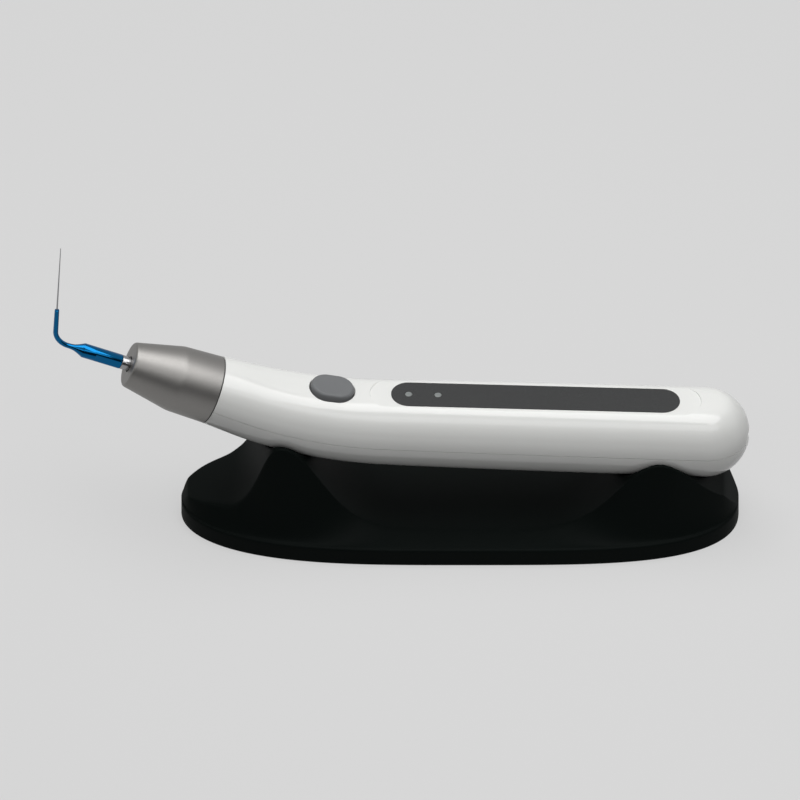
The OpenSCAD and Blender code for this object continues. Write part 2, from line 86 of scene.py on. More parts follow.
def solid_from_rings(name: str, rings: Array, caps: Caps = Caps.FLAT) -> Piece:
    """Makes a closed mesh from a stack of rings.

    Vertex (i, j) is point j of ring i. Each quad joins ring i to ring i + 1, and the last point of
    a ring joins its first.

    Args:
        name: Name of the piece.
        rings: Points in millimetres, shape (rings, points, 3).
        caps: How the ends are closed.

    Returns:
        The new object, with its place in its mesh.
    """
    count, around, _ = rings.shape
    ring_at = np.arange(count - 1)[:, None] * around
    here = np.arange(around)[None, :]
    after = (here + 1) % around
    quads = np.stack(
        [ring_at + here, ring_at + after, ring_at + around + after, ring_at + around + here],
        axis=-1,
    )
    faces = quads.reshape(-1, 4).tolist()
    last = (count - 1) * around
    if caps is Caps.FLAT:
        faces += [list(range(around)), list(range(last, last + around))]
    elif caps is Caps.FOLDED:
        near = np.arange(around // 2 - 1)
        far = around - 1 - near
        for start in (0, last):
            faces += (np.stack([near, near + 1, far - 1, far], axis=-1) + start).tolist()
    mesh = bpy.data.meshes.new(name)
    mesh.from_pydata((rings.reshape(-1, 3) * MM).tolist(), [], faces)
    return finished(name, mesh)


def smooth(mesh: bpy.types.Mesh) -> None:
    """Smooths all but the sharp edges."""
    mesh.shade_smooth()
    mesh.set_sharp_from_angle(angle=SHARP_ANGLE)


def finished(name: str, mesh: bpy.types.Mesh, merge: float = 2e-7) -> Piece:
    """Merges doubled points, turns faces outwards, and smooths the mesh.

    Args:
        name: Name of the piece.
        mesh: The mesh to finish.
        merge: Distance in metres under which points become one.

    Returns:
        The object that shows the mesh.
    """
    work = bmesh.new()
    work.from_mesh(mesh)
    bmesh.ops.remove_doubles(work, verts=work.verts, dist=merge)
    bmesh.ops.dissolve_degenerate(work, edges=work.edges, dist=merge)
    bmesh.ops.recalc_face_normals(work, faces=work.faces)
    work.to_mesh(mesh)
    work.free()
    smooth(mesh)
    piece = bpy.data.objects.new(name, mesh)
    bpy.context.scene.collection.objects.link(piece)
    return piece


def discard(pieces: list[Piece]) -> None:
    """Removes spent pieces and their meshes.

    Args:
        pieces: The pieces.
    """
    for piece in pieces:
        mesh = piece.data
        bpy.data.objects.remove(piece)
        bpy.data.meshes.remove(mesh)


def cut(piece: Piece, cutters: list[Piece]) -> Piece:
    """Takes closed cutters out of a closed piece, and removes the cutters.

    Args:
        piece: The piece to cut.
        cutters: Closed solids, each taken away in turn.

    Returns:
        The same piece with its new mesh.
    """
    for cutter in cutters:
        step = piece.modifiers.new("cut", "BOOLEAN")
        step.operation, step.solver, step.object = "DIFFERENCE", "EXACT", cutter
    depsgraph = bpy.context.evaluated_depsgraph_get()
    mesh = bpy.data.meshes.new_from_object(piece.evaluated_get(depsgraph))
    piece.modifiers.clear()
    old = piece.data
    piece.data = mesh
    mesh.name = piece.name
    bpy.data.meshes.remove(old)
    discard(cutters)
    smooth(mesh)
    return piece


def joined(name: str, parts: list[Piece]) -> Piece:
    """Joins separate closed parts into one piece, and removes them.

    Args:
        name: Name of the piece.
        parts: Its parts.

    Returns:
        The piece.
    """
    work = bmesh.new()
    for part in parts:
        work.from_mesh(part.data)
    mesh = bpy.data.meshes.new(name)
    work.to_mesh(mesh)
    work.free()
    discard(parts)
    return finished(name, mesh, merge=1e-9)


def oval(length: float, width: float, points: int = 96) -> Outline:
    """The outline of a slot: two half circles joined by straight sides.

    Point k is the half circle's centre plus its radius times (cos t, sin t), with t from -90 to 270
    degrees. The growth is added to the radius.

    Args:
        length: Length over all along u.
        width: Width over all across.
        points: Number of points, even.

    Returns:
        The growing outline.
    """
    half = np.linspace(-math.pi / 2, math.pi / 2, points // 2)
    turn = np.concatenate([half, half + math.pi])
    centre = np.repeat([1.0, -1.0], points // 2) * (length - width) / 2

    def outline(grow: float) -> Array:
        """The slot's outline, grown all round."""
        radius = width / 2 + grow
        return np.stack([centre + radius * np.cos(turn), radius * np.sin(turn)], axis=-1)

    return outline


def circle(diameter: float, points: int = 48) -> Outline:
    """The outline of a circle: its radius, plus the growth, times (cos t, sin t).

    Args:
        diameter: Its diameter.
        points: Number of points.

    Returns:
        The growing outline.
    """
    turn = np.linspace(0, 2 * math.pi, points, endpoint=False)
    rim = np.stack([np.cos(turn), np.sin(turn)], axis=-1)
    return lambda grow: (diameter / 2 + grow) * rim


def prism(name: str, outline: Outline, levels: list[Pair], place: Placer) -> Piece:
    """Carries an outline up through levels: ring k is the outline grown and lifted by levels[k].

    Args:
        name: Name of the piece.
        outline: The growing outline.
        levels: Pairs of (height, growth).
        place: Places the local points.

    Returns:
        The closed piece.
    """
    rings = [np.insert(outline(grow), 2, height, axis=1) for height, grow in levels]
    return solid_from_rings(name, place(np.array(rings)))


def tilted(x: float, z: float, slope: float, local: Array) -> Array:
    """Places points of a straight frame whose u axis falls toward the tail.

    (u, y, w) goes to (x + u cos + w sin, y, z - u sin + w cos) of the slope.

    Args:
        x: Place of the frame's origin along X.
        z: Height of its origin.
        slope: The slope in radians.
        local: Points (u, y, w), shape (..., 3).

    Returns:
        Points of the same shape in the object's frame.
    """
    u, y, w = local[..., 0], local[..., 1], local[..., 2]
    cos, sin = math.cos(slope), math.sin(slope)
    return np.stack([x + u * cos + w * sin, y, z - u * sin + w * cos], axis=-1)


def rounded(outline: list[Point], steps: int) -> Array:
    """Rounds the corners of a closed outline with arcs.

    Each corner with a radius is swapped for points on the curve a(1-t)^2 + 2bt(1-t) + ct^2 between
    the two tangent points, which is near an arc for the small radii used here.

    Args:
        outline: Corners as (r, u, rounding radius).
        steps: Points on each rounded corner.

    Returns:
        Points of shape (n, 2).
    """
    corners = np.array(outline, float)
    points: list[Array] = []
    for k, (r, u, radius) in enumerate(corners):
        corner = np.array([r, u])
        if radius <= 0:
            points.append(corner)
            continue
        before = corners[k - 1, :2] - corner
        behind = corners[(k + 1) % len(corners), :2] - corner
        lead = corner + before / np.linalg.norm(before) * radius
        leave = corner + behind / np.linalg.norm(behind) * radius
        t = np.linspace(0, 1, steps)[:, None]
        points.extend(lead * (1 - t) ** 2 + 2 * corner * t * (1 - t) + leave * t**2)
    return np.array(points)


# ---------------------------------------------------------------- the handle's line


@dataclass(frozen=True)
class CentreLine:
    """The handle's centre line: a straight nose, one bend and a straight tail."""

    joint: Pair = (-73.4, 48.3)  # place of the nose joint, (x, z)
    nose_pitch: float = 22.0  # slope of the nose in degrees
    tail_pitch: float = 2.32  # slope of the tail in degrees
    bend_start: float = 9.0  # station where the bend starts
    bend_r: float = 127.0  # radius of the bend
    tail_len: float = 96.2  # from the bend's end to the centre of the tail's dome
    reach: Pair = (60.0, 40.0)  # how far the line is tabled past joint and dome

    @property
    def tail_start(self) -> float:
        """Station where the bend ends."""
        return self.bend_start + self.bend_r * math.radians(self.nose_pitch - self.tail_pitch)

    @property
    def dome_s(self) -> float:
        """Station of the centre of the tail's dome."""
        return self.tail_start + self.tail_len

    def pitch(self, s: Array) -> Array:
        """Slope in radians at stations s: the nose's, less the share of the bend passed."""
        passed = np.clip(np.asarray(s, float) - self.bend_start, 0, self.tail_start - self.bend_start)
        return math.radians(self.nose_pitch) - passed / self.bend_r

    def at(self, s: Array) -> tuple[Array, Array]:
        """Place of the line: straight steps along each slope, and an arc between them.

        Args:
            s: Stations.

        Returns:
            x and z at each station.
        """
        s = np.asarray(s, float)
        nose = math.radians(self.nose_pitch)
        tail = math.radians(self.tail_pitch)
        p = self.pitch(s)
        straight = np.minimum(s, self.bend_start)
        after = np.maximum(s - self.tail_start, 0)
        x = (
            self.joint[0]
            + straight * math.cos(nose)
            + self.bend_r * (math.sin(nose) - np.sin(p))
            + after * math.cos(tail)
        )
        z = (
            self.joint[1]
            - straight * math.sin(nose)
            - self.bend_r * (np.cos(p) - math.cos(nose))
            - after * math.sin(tail)
        )
        return x, z

    def station(self, x: Array) -> Array:
        """The stations over places x, by linear search in a fine table of the line."""
        table = np.linspace(-self.reach[0], self.dome_s + self.reach[1], 6001)
        return np.interp(x, self.at(table)[0], table)

    def place(self, s: Array, y: Array, w: Array) -> Array:
        """Turns (s, y, w) into (x, y, z): the line's place plus w along its upward normal.

        Args:
            s: Stations.
            y: Distances across.
            w: Heights over the line.

        Returns:
            Points of shape (..., 3).
        """
        x, z = self.at(s)
        p = self.pitch(s)
        return np.stack(np.broadcast_arrays(x + w * np.sin(p), y, z + w * np.cos(p)), axis=-1)

    def frame_at(self, s: float) -> Placer:
        """The straight frame at station s: u along the tangent, y across, w up."""
        x, z = self.at(s)
        return lambda local: tilted(x, z, float(self.pitch(s)), local)

    def turned(self, name: str, profile: Array, steps: int) -> Piece:
        """Turns a closed profile of (radius, u) about the nose's axis.

        Point (i, j) is the profile's point i turned by 360 j / steps degrees.

        Args:
            name: Name of the piece.
            profile: Closed outline of (radius, distance toward the tail), shape (n, 2).
            steps: Number of steps round.

        Returns:
            The turned piece.
        """
        turn = np.linspace(0, 2 * math.pi, steps, endpoint=False)
        closed = np.vstack([profile, profile[:1]])
        r, u = closed[:, 0][:, None], closed[:, 1][:, None]
        local = np.stack(
            np.broadcast_arrays(u, r * np.sin(turn)[None, :], r * np.cos(turn)[None, :]), axis=-1
        )
        return solid_from_rings(name, self.frame_at(0.0)(local), Caps.OPEN)


# ---------------------------------------------------------------- finishes


class Nodes:
    """A node tree, with short calls to add and join its nodes."""

    def __init__(self, tree: bpy.types.NodeTree) -> None:
        """Keeps the tree that the calls work on."""
        self.tree = tree

    def add(self, kind: str, settings: dict | None = None, **inputs: object) -> bpy.types.Node:
        """Adds a node.

        Args:
            kind: The node type after "ShaderNode".
            settings: Properties of the node.
            **inputs: Values for its inputs, with _ for a space.

        Returns:
            The node.
        """
        node = self.tree.nodes.new("ShaderNode" + kind)
        for key, value in (settings or {}).items():
            setattr(node, key, value)
        for key, value in inputs.items():
            node.inputs[key.replace("_", " ")].default_value = value
        return node

    def join(self, output: Socket, target: Socket) -> None:
        """Links an output socket to an input socket."""
        self.tree.links.new(output, target)

    def reckon(self, operation: str, one: Socket, two: Socket | float) -> Socket:
        """Adds a node that reckons with two numbers.

        Args:
            operation: What it does, such as MULTIPLY.
            one: The first number's socket.
            two: The second number, or its socket.

        Returns:
            The result socket.
        """
        node = self.add("Math", {"operation": operation})
        self.join(one, node.inputs[0])
        if isinstance(two, float):
            node.inputs[1].default_value = two
        else:
            self.join(two, node.inputs[1])
        return node.outputs[0]

    def span(self, factor: Socket, low: float, high: float, start: float, end: float) -> Socket:
        """Maps a factor from start..end to low..high, clamped.

        Args:
            factor: Source socket.
            low: Result at start.
            high: Result at end.
            start: Factor where the range starts.
            end: Factor where the range ends.

        Returns:
            The result socket.
        """
        node = self.add("MapRange", From_Min=start, From_Max=end, To_Min=low, To_Max=high)
        self.join(factor, node.inputs["Value"])
        return node.outputs["Result"]

    def blend(self, factor: Socket, one: Colour | Socket, two: Colour) -> Socket:
        """Mixes two colours by a factor.

        Args:
            factor: Socket from 0 to 1.
            one: Colour at 0, or its socket.
            two: Colour at 1.

        Returns:
            The colour socket.
        """
        node = self.add("Mix", {"data_type": "RGBA"})
        if isinstance(one, tuple):
            node.inputs[6].default_value = (*one, 1)
        else:
            self.join(one, node.inputs[6])
        node.inputs[7].default_value = (*two, 1)
        self.join(factor, node.inputs[0])
        return node.outputs[2]

    def mix(self, factor: Socket, one: Socket, two: Socket) -> Socket:
        """Mixes two shaders by a factor.

        Args:
            factor: Socket from 0 to 1.
            one: Shader at 0.
            two: Shader at 1.

        Returns:
            The shader socket.
        """
        node = self.add("MixShader")
        for k, socket in enumerate((factor, one, two)):
            self.join(socket, node.inputs[k])
        return node.outputs[0]


class Bench(Nodes):
    """The node tree of a new material, with a Principled shader and Object coordinates."""

    def __init__(self, name: str) -> None:
        """Starts the material.

        Args:
            name: Name of the material.
        """
        self.material = bpy.data.materials.new(name)
        self.material.use_nodes = True
        super().__init__(self.material.node_tree)
        self.shader = self.tree.nodes["Principled BSDF"]
        self.coords = self.add("TexCoord").outputs["Object"]

    def noise(self, scale: float, detail: float = 2.0) -> Socket:
        """Adds a noise on Object coordinates.

        Args:
            scale: Cells per metre.
            detail: Octaves.

        Returns:
            The noise's factor.
        """
        node = self.add("TexNoise", Scale=scale, Detail=detail)
        self.join(self.coords, node.inputs["Vector"])
        return node.outputs["Fac"]

    def bump(self, height: Socket, strength: float, depth: float) -> None:
        """Puts a bump on the shader.

        Args:
            height: Socket with the height.
            strength: Share of the bump that shows.
            depth: Depth in metres.
        """
        node = self.add("Bump", Strength=strength, Distance=depth)
        self.join(height, node.inputs["Height"])
        self.join(node.outputs["Normal"], self.shader.inputs["Normal"])

    def paint(self, colour: Socket) -> None:
        """Joins a colour socket to the shader's base colour."""
        self.join(colour, self.shader.inputs["Base Color"])

    def set(self, **values: object) -> None:
        """Sets the shader's own sockets, with _ for a space."""
        for key, value in values.items():
            self.shader.inputs[key.replace("_", " ")].default_value = value


@dataclass(frozen=True)
class Finish:
    """A finish with a little procedural variation in colour and surface."""

    name: str  # name of the material, which is its slot in the record
    colour: Colour
    roughness: float
    metallic: float = 0.0  # 1 for bare metal
    tint: float = 0.05  # share by which the colour varies
    tint_scale: float = 120.0  # size of that variation, cells per metre
    grain_scale: float = 6000.0  # cells per metre of the surface grain
    grain_depth: float = 2e-6  # depth of the grain in metres
    coat: float = 0.0  # weight of a clear coat
    sheen: float = 0.0  # weight of a soft sheen, as on silicone
    specular: float = 0.5  # specular level, 0.5 for plain plastic

    def start(self) -> Bench:
        """Makes the bench and sets the shader's plain values.

        Returns:
            The bench.
        """
        bench = Bench(self.name)
        bench.set(Metallic=self.metallic, Roughness=self.roughness, Coat_Weight=self.coat)
        bench.set(Coat_Roughness=0.08, Sheen_Weight=self.sheen, Sheen_Roughness=0.4)
        bench.set(Specular_IOR_Level=self.specular)
        return bench

    def grain(self, bench: Bench) -> None:
        """Adds the fine surface grain."""
        bench.bump(bench.noise(self.grain_scale), 0.6, self.grain_depth)

    def vary(self, bench: Bench) -> None:
        """Lets the colour drift between two near shades.

        Args:
            bench: The material to paint.
        """
        dark = tuple(c * (1 - self.tint) for c in self.colour)
        pale = tuple(min(1.0, c * (1 + self.tint)) for c in self.colour)
        bench.paint(bench.blend(bench.noise(self.tint_scale, 3.0), dark, pale))

    def build(self) -> Material:
        """Makes the material.

        Returns:
            The material.
        """
        bench = self.start()
        self.vary(bench)
        self.grain(bench)
        return bench.material


@dataclass(frozen=True)
class BlastedSteel(Finish):
    """Steel blasted with fine beads: an even satin with tiny pits."""

    pits: float = 1800.0  # cells per metre of the mottle

    def vary(self, bench: Bench) -> None:
        """Adds a mottled roughness to the drift of the colour.

        Args:
            bench: The material to paint.
        """
        super().vary(bench)
        low, high = self.roughness - 0.02, self.roughness + 0.03
        rough = bench.span(bench.noise(self.pits, 4.0), low, high, 0.35, 0.65)
        bench.join(rough, bench.shader.inputs["Roughness"])


@dataclass(frozen=True)
class DustySilicone(Finish):
    """Matte silicone with faint wipe marks and a few pale specks of dust."""

    dust: Colour = (0.05, 0.05, 0.05)  # colour of the specks
    wipe: float = 1.35  # how much paler the wipe marks are

    def vary(self, bench: Bench) -> None:
        """Mixes the specks over the dark base where a cell point is close enough.

        Args:
            bench: The material to paint.
        """
        marks = tuple(c * self.wipe for c in self.colour)
        shade = bench.blend(bench.noise(45.0, 5.0), self.colour, marks)
        cells = bench.add("TexVoronoi", Scale=420.0)
        bench.join(bench.coords, cells.inputs["Vector"])
        near = bench.span(cells.outputs["Distance"], 1.0, 0.0, 0.03, 0.07)
        pick = bench.span(bench.noise(260.0, 1.0), 0.0, 1.0, 0.66, 0.7)
        bench.paint(bench.blend(bench.reckon("MULTIPLY", near, pick), shade, self.dust))


@dataclass(frozen=True)
class SpeckledFilm(Finish):
    """Charcoal label film with a fine pale speckle."""

    speckle: Colour = (0.042, 0.043, 0.044)  # colour of the speckle

    def vary(self, bench: Bench) -> None:
        """Blends to the speckle where a fine noise peaks."""
        peaks = bench.span(bench.noise(5200.0, 1.0), 0.0, 1.0, 0.45, 0.72)
        bench.paint(bench.blend(peaks, self.colour, self.speckle))


@dataclass(frozen=True)
class TurnedMetal(Finish):
    """Metal turned on a lathe: fine rings across the axis of the piece."""

    pitch_deg: float = 22.0  # slope of the piece's axis in the XZ plane
    ring_scale: float = 900.0  # rings per metre

    def grain(self, bench: Bench) -> None:
        """Bumps the surface by a noise stretched square to the axis.

        Args:
            bench: The material to work on.
        """
        level = bench.add("Mapping", Rotation=(0, math.radians(-self.pitch_deg), 0))
        squeeze = bench.add("Mapping", Scale=(self.ring_scale, 20.0, 20.0))
        rings = bench.add("TexNoise", Scale=1.0, Detail=3.0)
        bench.join(bench.coords, level.inputs["Vector"])
        bench.join(level.outputs["Vector"], squeeze.inputs["Vector"])
        bench.join(squeeze.outputs["Vector"], rings.inputs["Vector"])
        bench.bump(rings.outputs["Fac"], 0.5, self.grain_depth)


FINISHES: tuple[Finish, ...] = (
    Finish(
        "shell_white", (0.81, 0.815, 0.795), 0.09, tint=0.012, grain_scale=900, grain_depth=4e-6
    ),
    DustySilicone(
        "cradle_rubber", (0.0018, 0.0031, 0.0027), 0.62, grain_scale=2600, grain_depth=1e-5,
        specular=0.05,
    ),
    BlastedSteel("nose_steel", (0.24, 0.234, 0.225), 0.44, 1.0, tint=0.03, grain_depth=5e-7),
    Finish("seal_rubber", (0.02, 0.02, 0.02), 0.7),
    Finish("horn_seal_rubber", (0.3, 0.03, 0.02), 0.6),
    TurnedMetal("horn_steel", (0.33, 0.33, 0.335), 0.2, 1.0),
    TurnedMetal("stack_steel", (0.5, 0.5, 0.51), 0.3, 1.0),
    TurnedMetal("stud_steel", (0.6, 0.6, 0.61), 0.25, 1.0),
    Finish("piezo_ceramic", (0.72, 0.69, 0.6), 0.5),
    Finish("electrode_brass", (0.72, 0.5, 0.2), 0.25, 1.0),
    Finish("holder_plastic", (0.05, 0.05, 0.055), 0.5),
    Finish("lead_red", (0.45, 0.03, 0.02), 0.4),
    Finish("lead_black", (0.02, 0.02, 0.02), 0.4),
    Finish("screw_steel", (0.55, 0.55, 0.56), 0.3, 1.0),
    SpeckledFilm("label_charcoal", (0.022, 0.023, 0.023), 0.45, specular=0.3),
    Finish("lens_grey", (0.2, 0.215, 0.21), 0.35, grain_depth=4e-6),
    Finish("board_green", (0.02, 0.15, 0.06), 0.35),
    Finish("transformer_black", (0.03, 0.03, 0.03), 0.5),
    Finish("chip_black", (0.02, 0.02, 0.02), 0.4),
    Finish("led_white", (0.8, 0.78, 0.55), 0.3),
    Finish("switch_black", (0.03, 0.03, 0.03), 0.45),
    Finish("socket_steel", (0.55, 0.56, 0.57), 0.25, 1.0),
    Finish("cell_blue", (0.04, 0.1, 0.35), 0.3),
    Finish(
        "button_grey", (0.14, 0.145, 0.15), 0.55, tint=0.04, grain_scale=4000, grain_depth=4e-6,
        sheen=0.1,
    ),
    Finish("plunger_ivory", (0.7, 0.68, 0.55), 0.4),
    TurnedMetal("tip_blue", (0.001, 0.1, 0.25), 0.11, 1.0, ring_scale=1500, coat=0.1),
    Finish("needle_steel", (0.3, 0.3, 0.31), 0.28, 1.0, tint=0.08),
)


@dataclass
class Dresser:
    """Puts a finish, a body and a place in the record on each piece."""

    materials: dict[str, Material]  # the materials by slot
    replaced: set[str] = field(default_factory=set)  # CAD nodes that a new piece stands for

    def dress(self, piece: Piece, slot: str, body: str, node: str) -> None:
        """Finishes a new piece that stands for a CAD node.

        Args:
            piece: The new piece.
            slot: Its material slot in the record.
            body: The body that it rides on.
            node: The CAD node that it replaces.
        """
        piece.data.materials.clear()
        piece.data.materials.append(self.materials[slot])
        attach(piece, body)
        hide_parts(node)
        self.replaced.add(node)
        log.info("%s: %d faces, rides on %s", piece.name, len(piece.data.polygons), body)

    def keep_rest(self) -> None:
        """Gives each CAD node that stays as it is the finish of its slot in the record."""
        for part in frame["record"]["subparts"]:
            node, slot = part["node"], part["material_slot"]
            if node in self.replaced:
                continue
            materials = frame["nodes"][node].data.materials
            if not materials:
                materials.append(None)
            for k in range(len(materials)):
                materials[k] = self.materials[slot]
            log.info("%s: kept, in %s", node, slot)


# ---------------------------------------------------------------- the handle


class Side(Enum):
    """The two halves of the handle."""

    UPPER = 1
    LOWER = -1


@dataclass
class Handle:
    """The glossy white handle: two half shells that meet on the middle plane."""

    line: CentreLine
    grip_r: float = 13.45  # radius at the tail
    taper: float = 3.01  # how much thinner the handle is at the nose joint
    taper_len: float = 38.0  # length over which it thickens
    wall: float = 1.8  # wall thickness
    crown_wall: float = 2.1  # wall thickness under the crown
    seam: float = 0.16  # gap between the halves
    dome_squash: float = 0.996  # length of the tail's dome as a share of its radius
    joint_s: float = -0.9  # station of the joint line
    joint_gap: float = 0.15  # half the gap at the joint line
    crown_h: Pair = (0.9, 0.3)  # crown's height over the grip, and more at the joint
    crown_len: float = 9.0  # length over which the crown comes down
    crown_power: float = 24.0  # power of the soft cut between circle and crown
    facet: Outline = oval(99.3, 13.2, 160)  # the label's facet
    facet_mid_x: float = 22.65  # middle of the facet
    facet_at: Pair = (24.0, 45.33)  # a point (x, z) of its floor
    facet_pitch: float = 1.97  # slope of the facet in degrees
    lens_x: Pair = (-15.4, -6.6)  # places of the status lenses
    lens_d: float = 2.1  # their diameter
    lens_gap: float = 0.08  # gap round each
    screw_x: Pair = (-11.0, 65.0)  # places of the shell screws
    screw_d: float = 4.2  # diameter of their wells
    button: Pair = (13.1, 10.0)  # length and width of the button
    button_s: float = 34.75  # its station
    button_gap: float = 0.2  # gap round it
    port: Pair = (9.8, 4.0)  # width and height of the charging opening
    port_run: Pairs = ((9.0, 1.0), (12.3, 1.0), (14.5, 1.14))  # places and scales along it

    def radius(self, s: Array) -> Array:
        """Radius at stations s: the tail's, less the taper times exp(-s / taper length)."""
        return self.grip_r - self.taper * np.exp(-np.asarray(s, float) / self.taper_len)

    def crown(self, s: Array) -> Array:
        """Height of the flattened crown over the line at stations s, as a share of the radius."""
        return self.crown_h[0] + self.crown_h[1] * np.exp(-np.asarray(s, float) / self.crown_len)

    def arc(self, side: Side, inset: float, crown_inset: float, angles: Array) -> Array:
        """Half of the handle's surface as a grid of points.

        Along the tube a ring has the handle's radius, and over the dome it has that radius times
        the cosine of the dome angle. The upper side is cut softly at the crown's height h:
        (r^-p + (h / cos a)^-p)^(-1/p), with a from the top.

        Args:
            side: Which half.
            inset: Distance in from the outer surface.
            crown_inset: Distance in from the crown.
            angles: Angles from the top, or from the bottom for the lower side, in radians.

        Returns:
            Points of shape (stations, angles, 3).
        """
        bend = np.linspace(self.joint_s + self.joint_gap, self.line.tail_start, 76)
        tube = np.linspace(self.line.tail_start, self.line.dome_s, 97)[1:]
        turn = np.radians(np.concatenate([np.linspace(3, 84, 28), [87, 89, 90]]))
        dome_r = float(self.radius(self.line.dome_s)) - inset
        reach = self.dome_squash * dome_r
        s = np.concatenate([bend, tube, self.line.dome_s + reach * np.sin(turn)])
        along = np.minimum(s, self.line.dome_s)
        r = self.radius(along) - inset
        r[len(bend) + len(tube) :] = dome_r * np.cos(turn)
        r = np.maximum(r, 1e-6)[:, None]
        if side is Side.UPPER:
            h = (self.crown(along) * self.radius(along) - crown_inset)[:, None]
            p = self.crown_power
            r = ((1 / r) ** p + (np.abs(np.cos(angles))[None, :] / h) ** p) ** (-1 / p)
        y = r * np.sin(angles)[None, :]
        w = side.value * (r * np.cos(angles)[None, :] + self.seam / 2)
        return self.line.place(s[:, None], y, w)

    def half(self, name: str, side: Side) -> Piece:
        """One half shell: its outer arc and its inner arc joined into a C-shaped wall.

        Args:
            name: Name of the piece.
            side: Which half.

        Returns:
            The closed half shell.
        """
        angles = np.linspace(-math.pi / 2, math.pi / 2, 73)
        outer = self.arc(side, 0.0, 0.0, angles)
        inner = self.arc(side, self.wall, self.crown_wall, angles)[:, ::-1]
        return solid_from_rings(name, np.concatenate([outer, inner], axis=1), Caps.FOLDED)

    def on_facet(self, x: float) -> Placer:
        """The facet's own frame at a place along X.

        Args:
            x: The place.

        Returns:
            The placing function.
        """
        slope = math.radians(self.facet_pitch)
        z = self.facet_at[1] - math.tan(slope) * (x - self.facet_at[0])
        return lambda local: tilted(x, z, slope, local)

    def at_lenses(self, diameter: float, levels: list[Pair]) -> list[Piece]:
        """Round posts where the lenses are.

        Args:
            diameter: Their diameter.
            levels: Pairs of (height over the facet, growth).

        Returns:
            A closed piece for each lens.
        """
        return [prism("post", circle(diameter), levels, self.on_facet(x)) for x in self.lens_x]

    def lens_holes(self, low: float) -> list[Piece]:
        """Cutters for the lens holes from a height over the facet up."""
        return self.at_lenses(self.lens_d + 2 * self.lens_gap, [(low, 0), (2, 0)])

    def port_cutter(self) -> Piece:
        """The charging opening through the tail, flared at its mouth.

        Returns:
            The cutter.
        """
        flat = oval(*self.port)(0.0)
        rings = [np.insert(flat * scale, 0, u, axis=1) for u, scale in self.port_run]
        return solid_from_rings("cutter", self.line.frame_at(self.line.dome_s)(np.array(rings)))

    def upper(self) -> Piece:
        """The upper half with its facet, button hole, lens holes and charging opening.

        Returns:
            The closed piece.
        """
        shell = self.half("upper_shell_gloss", Side.UPPER)
        facet_levels = [(0.0, 0.0), (0.12, 0.02), (0.9, 0.35), (4.0, 0.6)]
        gap = self.button_gap
        hole_levels = [(4.0, gap), (10.35, gap), (10.9, gap + 0.3), (16.0, gap + 0.5)]
        cutters = [
            prism("cutter", self.facet, facet_levels, self.on_facet(self.facet_mid_x)),
            prism("cutter", oval(*self.button), hole_levels, self.line.frame_at(self.button_s)),
            self.port_cutter(),
        ]
        return cut(shell, cutters + self.lens_holes(-5))

    def lower(self) -> Piece:
        """The lower half with its screw wells and charging opening.

        Returns:
            The closed piece.
        """
        shell = self.half("lower_shell_gloss", Side.LOWER)
        cutters = [self.port_cutter()]
        levels = [(-15, 0.5), (-13.2, 0.18), (-12.9, 0.0), (-8.5, 0.0)]
        for s in self.line.station(np.array(self.screw_x)):
            cutters.append(prism("cutter", circle(self.screw_d), levels, self.line.frame_at(s)))
        return cut(shell, cutters)

    def make(self, dresser: Dresser) -> None:
        """Builds both halves and dresses them."""
        dresser.dress(self.upper(), "shell_white", "handpiece", "upper_shell")
        dresser.dress(self.lower(), "shell_white", "handpiece", "lower_shell")


@dataclass
class LabelStrip:
    """The dark strip on the facet and its two status lenses."""

    handle: Handle
    outline: Outline = oval(86.7, 10.7, 160)  # the strip's outline
    thick: float = 0.2  # its thickness
    edge: float = 0.05  # how far its top edge is drawn in
    post_foot: float = -3.4  # height of the light guides' foot
    dome_rise: float = 0.08  # height of the low dome on each

    def plate(self) -> Piece:
        """The strip: its outline carried up, drawn in at the top edge.

        Returns:
            The closed piece.
        """
        levels = [(0.0, 0.0), (self.thick - self.edge, 0.0), (self.thick, -self.edge)]
        place = self.handle.on_facet(self.handle.facet_mid_x)
        return cut(prism("label_strip", self.outline, levels, place), self.handle.lens_holes(-1))

    def lenses(self) -> Piece:
        """Both light guides: posts with a low dome on top, one mesh.

        Returns:
            The closed piece.
        """
        radius = self.handle.lens_d / 2
        levels = [(self.post_foot, 0.0)]
        for a in np.radians(np.linspace(0, 88, 7)):
            height = self.thick - 0.03 + self.dome_rise * math.sin(a)
            levels.append((height, radius * (math.cos(a) - 1)))
        return joined("status_lenses_domed", self.handle.at_lenses(2 * radius, levels))

    def make(self, dresser: Dresser) -> None:
        """Builds and dresses the strip and the lenses."""
        dresser.dress(self.plate(), "label_charcoal", "handpiece", "label_plate")
        dresser.dress(self.lenses(), "lens_grey", "handpiece", "status_lenses")


